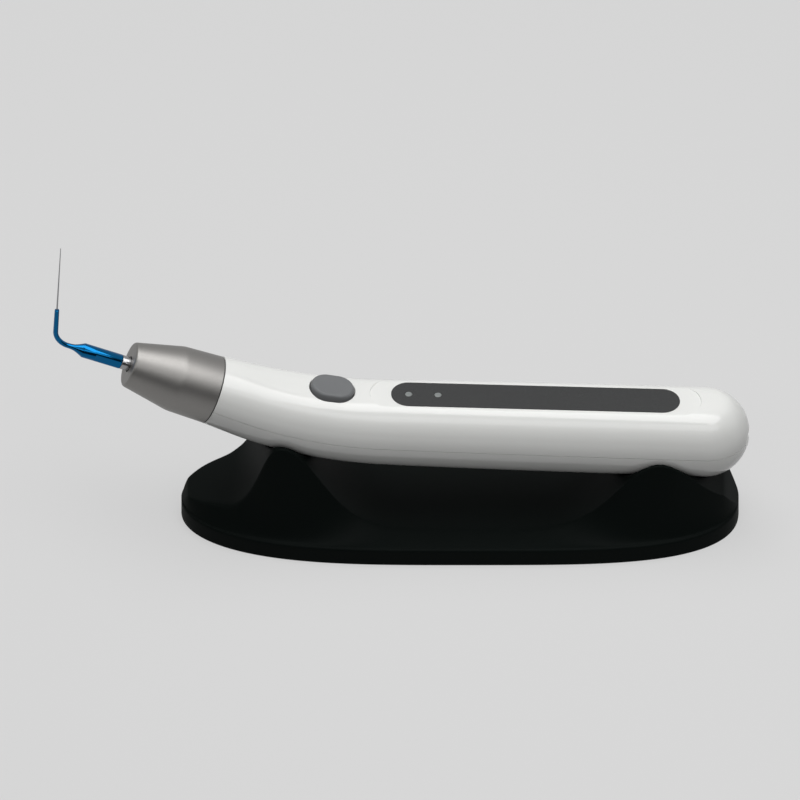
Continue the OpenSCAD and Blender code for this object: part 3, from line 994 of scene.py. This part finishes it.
@dataclass
class PowerButton:
    """The grey silicone button: an oval slab with a rounded rim and a gentle dish."""

    handle: Handle
    top: float = 12.9  # height of its top over the centre line
    low: float = 6.9  # height of its foot
    foot: Pair = (1.6, 0.75)  # height of the foot's lip, and how far it stands out
    edge: float = 0.9  # radius of its rim
    dish: float = 0.12  # depth of the dish

    def cap(self) -> Piece:
        """The button as rings: up the wall, round the rim, and in over the dished top.

        Returns:
            The closed piece.
        """
        lip_h, lip = self.foot
        levels = [(self.low, lip), (self.low + lip_h, lip), (self.low + lip_h, 0.0)]
        for a in np.radians(np.linspace(0, 90, 10)):
            height = self.top - self.edge + self.edge * math.sin(a)
            levels.append((height, self.edge * (math.cos(a) - 1)))
        reach = self.handle.button[1] / 2 - self.edge
        for k in np.linspace(1, 0.02, 14)[1:]:
            levels.append((self.top - self.dish * (1 - k * k), -self.edge - reach * (1 - k)))
        place = self.handle.line.frame_at(self.handle.button_s)
        return prism("button_cap", oval(*self.handle.button, 128), levels, place)

    def make(self, dresser: Dresser) -> None:
        """Builds and dresses the button."""
        dresser.dress(self.cap(), "button_grey", "power_button", "power_button")


# ---------------------------------------------------------------- nose and tip


@dataclass
class Nose:
    """The metal nose: cap, joint seal and the horn's bright collar."""

    handle: Handle
    length: float = 28.0  # length of the cap
    front_r: float = 6.8  # radius of its front face
    mouth_r: float = 2.45  # radius of the hole in it
    kink: Pair = (10.0, -12.9)  # radius and place where its slope changes
    bore: Pairs = (
        (8.5, -9.6), (7.5, -9.6), (7.5, -13.1), (6.2, -13.1), (4.1, -25.0)
    )  # its inner outline as (radius, place)
    seal_r: Pair = (8.75, 10.1)  # inner and outer radius of the seal
    collar_r: float = 2.15  # radius of the collar
    collar: Pair = (-30.55, -24.0)  # places of its front and its back
    horn_r: float = 4.8  # radius of the horn behind the taper
    taper_len: float = 9.0  # length of the taper
    flange: Pairs = (
        (4.8, -13), (7.2, -13), (7.2, -11), (5.2, -11), (5.2, -9.8), (2, -9.8), (2, -16.6),
        (0.001, -16.6), (0.001, -25.4), (1.5, -25.4),
    )  # the rest of the horn's outline, with its hollow back and the hole for the stud
    stud_r: float = 1.5  # radius of that hole
    holes: Pair = (0.7, -29.2)  # diameter and place of the spanner holes
    hole_span: Pair = (1.65, 3.0)  # distances from the axis that they span

    def cap(self) -> Piece:
        """The cap, turned from its outer and inner outline.

        Returns:
            The closed piece.
        """
        end = self.handle.joint_s - self.handle.joint_gap
        outline = [
            (self.mouth_r, -self.length, 0.1),
            (self.front_r, -self.length, 0.8),
            (*self.kink, 0.9),
            (float(self.handle.radius(end)), end, 0.12),
            (self.bore[0][0], end, 0),
            *((r, u, 0) for r, u in self.bore),
            (self.mouth_r, self.bore[-1][1], 0),
        ]
        return self.handle.line.turned("nose_cap_blasted", rounded(outline, 9), 192)

    def seal(self) -> Piece:
        """The dark ring in the joint.

        Returns:
            The closed piece.
        """
        inner, outer = self.seal_r
        near = self.handle.joint_s - self.handle.joint_gap
        far = self.handle.joint_s + self.handle.joint_gap
        outline = [(inner, near, 0), (outer, near, 0.1), (outer, far, 0.1), (inner, far, 0)]
        return self.handle.line.turned("nose_joint_seal", rounded(outline, 4), 192)

    def horn(self) -> Piece:
        """The horn: a taper r = collar + (horn - collar) t^1.8 behind the collar, and its holes.

        Returns:
            The closed piece.
        """
        front, back = self.collar
        t = np.linspace(0.05, 1, 24)
        swell = self.collar_r + (self.horn_r - self.collar_r) * t**1.8
        taper = np.stack([swell, back + self.taper_len * t], axis=-1)
        nose_end = rounded(
            [(self.stud_r, front, 0.08), (self.collar_r, front, 0.22), (self.collar_r, back, 0)], 5
        )
        outline = np.vstack([nose_end, taper, np.array(self.flange, float)])
        horn = self.handle.line.turned("horn_polished", outline, 128)
        diameter, place = self.holes
        ring = circle(diameter, 20)(0.0)
        cutters = []
        for turn in np.radians([45, 135, 225, 315]):
            rings = [
                np.stack(
                    [
                        ring[:, 0] + place,
                        depth * math.sin(turn) + ring[:, 1] * math.cos(turn),
                        depth * math.cos(turn) - ring[:, 1] * math.sin(turn),
                    ],
                    axis=-1,
                )
                for depth in self.hole_span
            ]
            cutters.append(
                solid_from_rings("cutter", self.handle.line.frame_at(0.0)(np.array(rings)))
            )
        return cut(horn, cutters)

    def make(self, dresser: Dresser) -> None:
        """Builds and dresses the nose.

        Args:
            dresser: Gives the finishes.
        """
        dresser.dress(self.cap(), "nose_steel", "handpiece", "nose_cap")
        dresser.dress(self.seal(), "seal_rubber", "handpiece", "nose_seal")
        dresser.dress(self.horn(), "horn_steel", "handpiece", "transducer_horn")


@dataclass
class Tip:
    """The blue tip with its bent neck, and the steel needle in its end."""

    handle: Handle
    back: float = -30.6  # place of the hub's rear face, from the joint
    flats_end: float = -39.0  # where the spanner flats end, before the round head
    front: float = -42.95  # where the head's cone starts
    cone_len: float = 2.9  # length of the cone
    hub_r: float = 2.2  # radius of the hub
    flat_half: float = 1.85  # half the width across the flats
    stud_r: float = 1.5  # radius of the hole for the stud
    hole_len: float = 4.0  # depth of that hole, and of the needle's
    neck_r: float = 0.78  # radius of the neck
    corner: float = -51.85  # where the neck's two axes meet
    bend_r: float = 5.84  # radius of the neck's bend
    rise: float = 12.73  # length from the corner to the neck's end
    lean: float = 2.6  # lean of the needle in degrees
    needle_len: float = 24.4  # length of the needle
    needle_r: Pair = (0.27, 0.12)  # its radius at the root and at the end
    axis_r: float = 0.001  # radius that stands for the axis
    no_flat: float = 9.0  # distance across that cuts nothing off

    @property
    def turn(self) -> float:
        """Angle of the neck's bend in radians."""
        return math.radians(90 - self.handle.line.nose_pitch + self.lean)

    @property
    def arm(self) -> float:
        """Distance from the corner to each end of the bend."""
        return self.bend_r * math.tan(self.turn / 2)

    @property
    def run(self) -> float:
        """Length of the line from the hub's rear face to the bend."""
        return self.back - self.corner - self.arm

    @property
    def end(self) -> float:
        """Length of the line from the hub's rear face to the neck's end."""
        return self.run + self.bend_r * self.turn + self.rise - self.arm

    def path(self, d: Array) -> tuple[Array, Array]:
        """The neck's centre line in the XZ plane: straight, an arc, and straight again.

        Args:
            d: Distances from the hub's rear face along the line.

        Returns:
            Points (x, z) and unit tangents, each of shape (n, 2).
        """
        nose = math.radians(self.handle.line.nose_pitch)
        ahead = np.array([-math.cos(nose), math.sin(nose)])
        side = np.array([ahead[1], -ahead[0]])
        lean = math.radians(self.lean)
        up = np.array([math.sin(lean), math.cos(lean)])
        first = np.array(self.handle.line.at(self.corner)) - ahead * (self.arm + self.run)
        curve = self.bend_r * self.turn
        angle = np.clip(d - self.run, 0, curve) / self.bend_r
        swing = (
            ahead * (self.bend_r * np.sin(angle))[:, None]
            + side * (self.bend_r * (1 - np.cos(angle)))[:, None]
        )
        beyond = np.maximum(d - self.run - curve, 0)
        points = first + ahead * np.minimum(d, self.run)[:, None] + swing + up * beyond[:, None]
        tangents = ahead * np.cos(angle)[:, None] + side * np.sin(angle)[:, None]
        return points, tangents

    def carried(self, name: str, stations: list[Point], steps: int) -> Piece:
        """Carries a round section along the neck's line.

        Point (i, j) is the line at d[i] plus r across and r along the line's normal, where the
        distance across never passes flat[i].

        Args:
            name: Name of the piece.
            stations: Rows of (d, r, flat).
            steps: Points round the section.

        Returns:
            The closed piece.
        """
        d, r, flat = np.array(stations).T
        points, tangents = self.path(d)
        normal = np.stack([-tangents[:, 1], tangents[:, 0]], axis=-1)
        turn = np.linspace(0, 2 * math.pi, steps, endpoint=False)
        across = np.clip(r[:, None] * np.sin(turn)[None, :], -flat[:, None], flat[:, None])
        over = r[:, None] * np.cos(turn)[None, :]
        x = points[:, 0][:, None] + normal[:, 0][:, None] * over
        z = points[:, 1][:, None] + normal[:, 1][:, None] * over
        return solid_from_rings(name, np.stack([x, across, z], axis=-1), Caps.OPEN)

    def hub(self) -> Piece:
        """The hub, its flats, its cone, the bent neck and the seat of the needle, in one piece.

        Returns:
            The closed piece.
        """
        wide, hub_r, half, neck = self.no_flat, self.hub_r, self.flat_half, self.neck_r
        run, end, deep = self.run, self.end, self.hole_len
        seat = self.needle_r[0] + 0.005
        head = self.back - self.flats_end
        cone = self.back - self.front
        stations = [
            (deep, self.axis_r, wide), (deep, self.stud_r, wide), (0.0, self.stud_r, wide),
            (0.0, hub_r - 0.2, half), (0.06, hub_r - 0.06, half), (0.2, hub_r, half),
            (head - 0.4, hub_r, half), (head, hub_r, half + 0.2), (head + 0.02, hub_r, wide),
            (cone - 0.2, hub_r, wide), (cone, hub_r - 0.12, wide),
        ]
        for t in np.linspace(0.12, 1, 9):
            radius = neck + 0.15 + (hub_r - 0.27 - neck) * (1 - t) ** 1.25
            stations.append((cone + self.cone_len * t, radius, wide))
        stations += [(run - 1.0, neck + 0.03, wide), (run, neck, wide)]
        for t in np.linspace(0, 1, 34)[1:]:
            stations.append((run + self.bend_r * self.turn * t, neck, wide))
        stations += [
            (end - 0.4, 0.71, wide), (end - 0.2, 0.68, wide), (end, 0.5, wide), (end, seat, wide),
            (end - deep, seat, wide), (end - deep, self.axis_r, wide),
        ]
        return self.carried("tip_anodised", stations, 96)

    def needle(self) -> Piece:
        """The needle: a fine taper from its root to a small blunt point.

        Returns:
            The closed piece.
        """
        wide, end = self.no_flat, self.end
        root, point = self.needle_r[0] - 0.02, self.needle_r[1]
        foot, top = end - self.hole_len + 0.1, end + self.needle_len
        stations = [(foot, self.axis_r, wide), (foot, root, wide)]
        for t in np.linspace(0, 1, 60):
            stations.append((end + (self.needle_len - 0.3) * t, root + (point - root) * t, wide))
        stations += [(top - 0.12, 0.08, wide), (top, 0.03, wide), (top, self.axis_r, wide)]
        return self.carried("needle_polished", stations, 32)

    def make(self, dresser: Dresser) -> None:
        """Builds and dresses the tip."""
        dresser.dress(self.hub(), "tip_blue", "tip", "tip_hub")
        dresser.dress(self.needle(), "needle_steel", "tip", "tip_needle")


# ---------------------------------------------------------------- the cradle


def bell(distance: Array, spread: float) -> Array:
    """A bell curve, exp(-d^2 / 2 spread^2)."""
    return np.exp(-(distance**2) / (2 * spread**2))


@dataclass
class Cradle:
    """The silicone cradle: a long low block with two saddles fitted to the handle."""

    handle: Handle
    half_x: float = 83.6  # half its length
    half_y: float = 24.6  # half its width
    wall_h: float = 6.0  # height of its side wall
    floor_h: float = 7.0  # height of the floor between the saddles
    front_h: float = 36.1  # height of the saddle near the nose
    front_x: float = -53.4  # its place
    rear_h: float = 30.8  # height of the saddle near the tail
    rear_x: float = 60.0  # its place
    spreads: Point = (11.0, 12.3, 7.0)  # spreads of the front saddle, the rear one and the end
    end_rise: float = 2.85  # height of the raised end toward the nose
    end_x: float = -75.5  # its place
    crest_half: Pair = (13.0, 1.6)  # half width of the crest at the front, and its growth to the rear
    gentle_run: Pair = (-57.0, 12.0)  # where the flanks start to be gentler, and over what length
    tip_run: Pair = (2.2, 4.6)  # lengths over which the crest comes up from the oval's two tips
    side_soft: float = 0.9  # rounding between the side wall and the top
    gap: float = 0.35  # gap between saddle and handle

    def outline(self, x: Array) -> Array:
        """Half width at x: the oval (x/a)^m + (y/b)^n = 1 solved for y, squarer toward the tail.

        Args:
            x: Places along X.

        Returns:
            The half width at each place.
        """
        share = np.clip(np.abs(x) / self.half_x, 0, 1)
        m = np.where(x < 0, 3.25, 3.9)
        n = np.where(x < 0, 2.1, 2.4)
        return self.half_y * (1 - share**m) ** (1 / n)

    def crest(self, x: Array) -> Array:
        """Height of the crest line: a low floor, two saddles and a raised end.

        The saddles are bell curves, except that the front one runs out as 1 / (1 + (d/a)^n) toward
        the nose. All of it comes down to the wall at the oval's tips.

        Args:
            x: Places along X.

        Returns:
            The height at each place.
        """
        front_spread, rear_spread, end_spread = self.spreads
        past = x - self.front_x
        steep = 1 / (1 + (np.maximum(0, -past) / 8.56) ** 2.85)
        front = np.where(past < 0, steep, bell(past, front_spread))
        run_in = np.where(x < 0, *self.tip_run)
        come_up = 1 - np.maximum(0, 1 - (self.half_x - np.abs(x)) / run_in) ** 1.6
        rise = (
            self.floor_h - self.wall_h
            + (self.front_h - self.floor_h) * front
            + (self.rear_h - self.floor_h) * bell(x - self.rear_x, rear_spread)
            + self.end_rise * bell(x - self.end_x, end_spread)
        )
        return self.wall_h + rise * come_up

    def groove(self, x: Array, y: Array) -> Array:
        """Height of the handle's underside, plus the gap, over (x, y).

        The station whose section passes over x is found by repeated correction, and the height is
        the centre line's less w cos(pitch), with w^2 = (r + gap)^2 - y^2.

        Args:
            x: Places along X.
            y: Places across.

        Returns:
            The height at each point, far above the handle where it isn't overhead.
        """
        line = self.handle.line
        s = line.station(x)
        for _ in range(5):
            w = np.sqrt(np.maximum(0, (self.handle.radius(s) + self.gap) ** 2 - y**2))
            s = line.station(x + w * np.sin(line.pitch(s)))
        w = np.sqrt(np.maximum(0, (self.handle.radius(s) + self.gap) ** 2 - y**2))
        low = line.at(s)[1] - w * np.cos(line.pitch(s))
        return np.where(np.abs(y) > self.handle.radius(s) + self.gap - 0.05, 200.0, low)

    def top(self, x: Array, y: Array, edge: Array, crest_y: Array) -> Array:
        """Height of the upper surface: the smooth least of crest, flank and groove.

        The smooth least of a, b and c is -k ln(e^(-a/k) + e^(-b/k) + e^(-c/k)).

        Args:
            x: Places along X.
            y: Places across.
            edge: Half width where the flank starts.
            crest_y: Half width at the crest line.

        Returns:
            The height at each point.
        """
        h = self.crest(x)
        t = np.maximum(0, (edge - np.abs(y)) / (edge - crest_y))
        rise = h - self.wall_h
        start, length = self.gentle_run
        gentle = np.clip((start - x) / length, 0, 1)
        flank = self.wall_h + (rise * 1.05 + 0.6) * t ** (1.7 - 0.45 * gentle) + 0.02
        k = 0.12 + 0.024 * rise + 0.9 * gentle
        groove = self.groove(x, y)
        least = -k * np.log(np.exp(-h / k) + np.exp(-flank / k) + np.exp(-groove / k))
        return np.maximum(self.wall_h - 0.6, least)

    def block(self) -> Piece:
        """The whole block as cross sections from one foot over the top to the other foot.

        Returns:
            The closed piece.
        """
        x = self.half_x * np.sin(np.radians(np.linspace(-89.9, 89.9, 261)))
        b = self.outline(x)
        soft = np.minimum(self.side_soft, 0.25 * b)
        edge = b - soft
        between = (x - self.front_x) / (self.rear_x - self.front_x)
        crest_y = np.minimum(self.crest_half[0] + self.crest_half[1] * between, 0.75 * edge)
        foot = np.minimum(0.25, 0.2 * b)
        columns = [(b - foot, np.zeros_like(b)), (b, foot)]
        columns += [(b, foot + (self.wall_h - soft - foot) * t) for t in (0.4, 0.8)]
        for a in np.radians(np.linspace(0, 75, 6)):
            columns.append((edge + soft * np.cos(a), self.wall_h - soft + soft * np.sin(a)))
        rows = [edge + (crest_y - edge) * t**0.85 for t in np.linspace(0, 1, 44)]
        rows += [crest_y * t**0.8 for t in np.linspace(1, 0, 44)[1:]]
        columns += [(y, self.top(x, y, edge, crest_y)) for y in rows]
        half = np.stack([np.stack([x, -y, z], axis=-1) for y, z in columns], axis=1)
        mirror = half[:, -2::-1] * np.array([1, -1, 1])
        return solid_from_rings("cradle_silicone", np.concatenate([half, mirror], axis=1))

    def make(self, dresser: Dresser) -> None:
        """Builds and dresses the cradle."""
        dresser.dress(self.block(), "cradle_rubber", "cradle", "cradle")


# ---------------------------------------------------------------- the studio


@dataclass
class Studio:
    """A pale floor, soft lamps and the camera, in metres and watts."""

    target: Point = (-0.018, 0.0, 0.0445)  # point at the picture's centre
    elevation: float = 41.0  # angle of the view over the horizon in degrees
    frame_width: float = 0.24  # width that the picture shows
    distance: float = 1.8  # distance of the camera
    floor_half: float = 6.0  # half the floor's side
    backdrop: float = 0.68  # linear level of the pale background
    glow_share: float = 0.75  # share of the even glow in the floor that is seen
    paper: float = 0.72  # level of the floor's lit paper where it is seen
    bounce: float = 0.22  # its level to the light's bounces
    sky: float = 0.15  # level of the sky's light on the object
    room: float = 0.06  # level of the dim room before the table, which only mirrors show
    room_span: tuple[tuple[str, float, float], ...] = (
        ("Y", -0.1, -0.45), ("Z", 0.62, 0.5)
    )  # where the room starts and where it is full, along Y and Z of a look's direction
    lamp_aim: Point = (0.0, 0.0, 0.04)  # point that the lamps face

    def camera(self) -> None:
        """A parallel view from the front and above."""
        data = bpy.data.cameras.new("photo_camera")
        data.type = "ORTHO"
        data.ortho_scale = self.frame_width
        data.clip_start, data.clip_end = 0.01, 20
        camera = bpy.data.objects.new("photo_camera", data)
        tilt = math.radians(self.elevation)
        x, y, z = self.target
        camera.location = (
            x, y - self.distance * math.cos(tilt), z + self.distance * math.sin(tilt)
        )
        camera.rotation_euler = (math.pi / 2 - tilt, 0, 0)
        bpy.context.scene.collection.objects.link(camera)
        bpy.context.scene.camera = camera

    def lamp(self, name: str, place: Point, size: Pair, power: float) -> None:
        """A rectangular soft lamp that faces the object.

        Args:
            name: Name of the lamp.
            place: Where it hangs.
            size: Width and height.
            power: Power.
        """
        data = bpy.data.lights.new(name, "AREA")
        data.shape = "RECTANGLE"
        data.size, data.size_y = size
        data.energy = power
        lamp = bpy.data.objects.new(name, data)
        lamp.location = place
        way = np.array(self.lamp_aim) - np.array(place)
        flat = math.hypot(way[0], way[1])
        lamp.rotation_euler = (math.atan2(flat, -way[2]), 0, math.atan2(way[0], -way[1]) + math.pi)
        bpy.context.scene.collection.objects.link(lamp)

    def seen(self, nodes: Nodes) -> Socket:
        """Adds a socket that is 1 for the look of an eye, a mirror or a glass, and 0 for bounces.

        Args:
            nodes: The node tree.

        Returns:
            The socket.
        """
        rays = nodes.add("LightPath").outputs
        total = rays["Is Camera Ray"]
        for way in ("Is Glossy Ray", "Is Transmission Ray"):
            total = nodes.reckon("MAXIMUM", total, rays[way])
        return total

    def floor(self) -> None:
        """A pale paper floor: lit paper mixed with an even glow where it is seen.

        The lit share keeps the object's shadow. To the light's bounces the paper is darker, as a
        real table is that lies further off.
        """
        mesh = bpy.data.meshes.new("floor")
        corners = [(x, y, 0) for x, y in ((-1, -1), (1, -1), (1, 1), (-1, 1))]
        mesh.from_pydata((np.array(corners) * self.floor_half).tolist(), [], [(0, 1, 2, 3)])
        floor = bpy.data.objects.new("floor", mesh)
        bpy.context.scene.collection.objects.link(floor)
        bench = Bench("floor_paper")
        bench.set(Roughness=1.0, Specular_IOR_Level=0.0)
        seen = self.seen(bench)
        bench.paint(bench.blend(seen, (self.bounce,) * 3, (self.paper,) * 3))
        glow = bench.add("Emission", Color=(*(self.backdrop,) * 3, 1))
        share = bench.reckon("MULTIPLY", seen, self.glow_share)
        surface = bench.mix(share, bench.shader.outputs[0], glow.outputs[0])
        bench.join(surface, bench.tree.nodes["Material Output"].inputs["Surface"])
        mesh.materials.append(bench.material)

    def world(self) -> None:
        """A dim even sky that looks like the backdrop to an eye, a mirror or a glass.

        A mirror that looks low toward -Y sees the dim room before the table instead: a share that
        grows from 0 to 1 along -Y, times one that falls to 0 higher up.
        """
        world = bpy.data.worlds.new("studio_sky")
        bpy.context.scene.world = world
        world.use_nodes = True
        nodes = Nodes(world.node_tree)
        sky, shown, room = (
            nodes.add("Background", Color=(level, level, level, 1)).outputs[0]
            for level in (self.sky, self.backdrop, self.room)
        )
        share = nodes.add("LightPath").outputs["Is Glossy Ray"]
        way = nodes.add("SeparateXYZ")
        nodes.join(nodes.add("TexCoord").outputs["Generated"], way.inputs[0])
        for axis, start, full in self.room_span:
            part = nodes.span(way.outputs[axis], 0.0, 1.0, start, full)
            share = nodes.reckon("MULTIPLY", share, part)
        even = nodes.mix(self.seen(nodes), sky, shown)
        surface = nodes.mix(share, even, room)
        nodes.join(surface, nodes.tree.nodes["World Output"].inputs["Surface"])

    def make(self) -> None:
        """Sets the stage, with softboxes overhead, in front and at the left."""
        bpy.context.scene.view_settings.view_transform = "Standard"
        self.floor()
        self.world()
        self.lamp("softbox_over", (0.05, 0.06, 0.75), (1.1, 0.5), 5.6)
        self.lamp("softbox_before", (0.05, -0.5, 0.62), (1.1, 0.2), 0.9)
        self.lamp("softbox_left", (-0.7, -0.25, 0.45), (0.3, 0.3), 0.25)
        self.camera()
        log.info("studio ready")


def main() -> None:
    """Builds the pieces in order, from the cradle up."""
    logging.basicConfig(level=logging.INFO, format="%(name)s: %(message)s")
    dresser = Dresser({finish.name: finish.build() for finish in FINISHES})
    handle = Handle(CentreLine())
    assemblies = (
        Cradle(handle), handle, LabelStrip(handle), PowerButton(handle), Nose(handle), Tip(handle)
    )
    for assembly in assemblies:
        assembly.make(dresser)
    dresser.keep_rest()
    Studio().make()


if __name__ == "__main__":
    main()
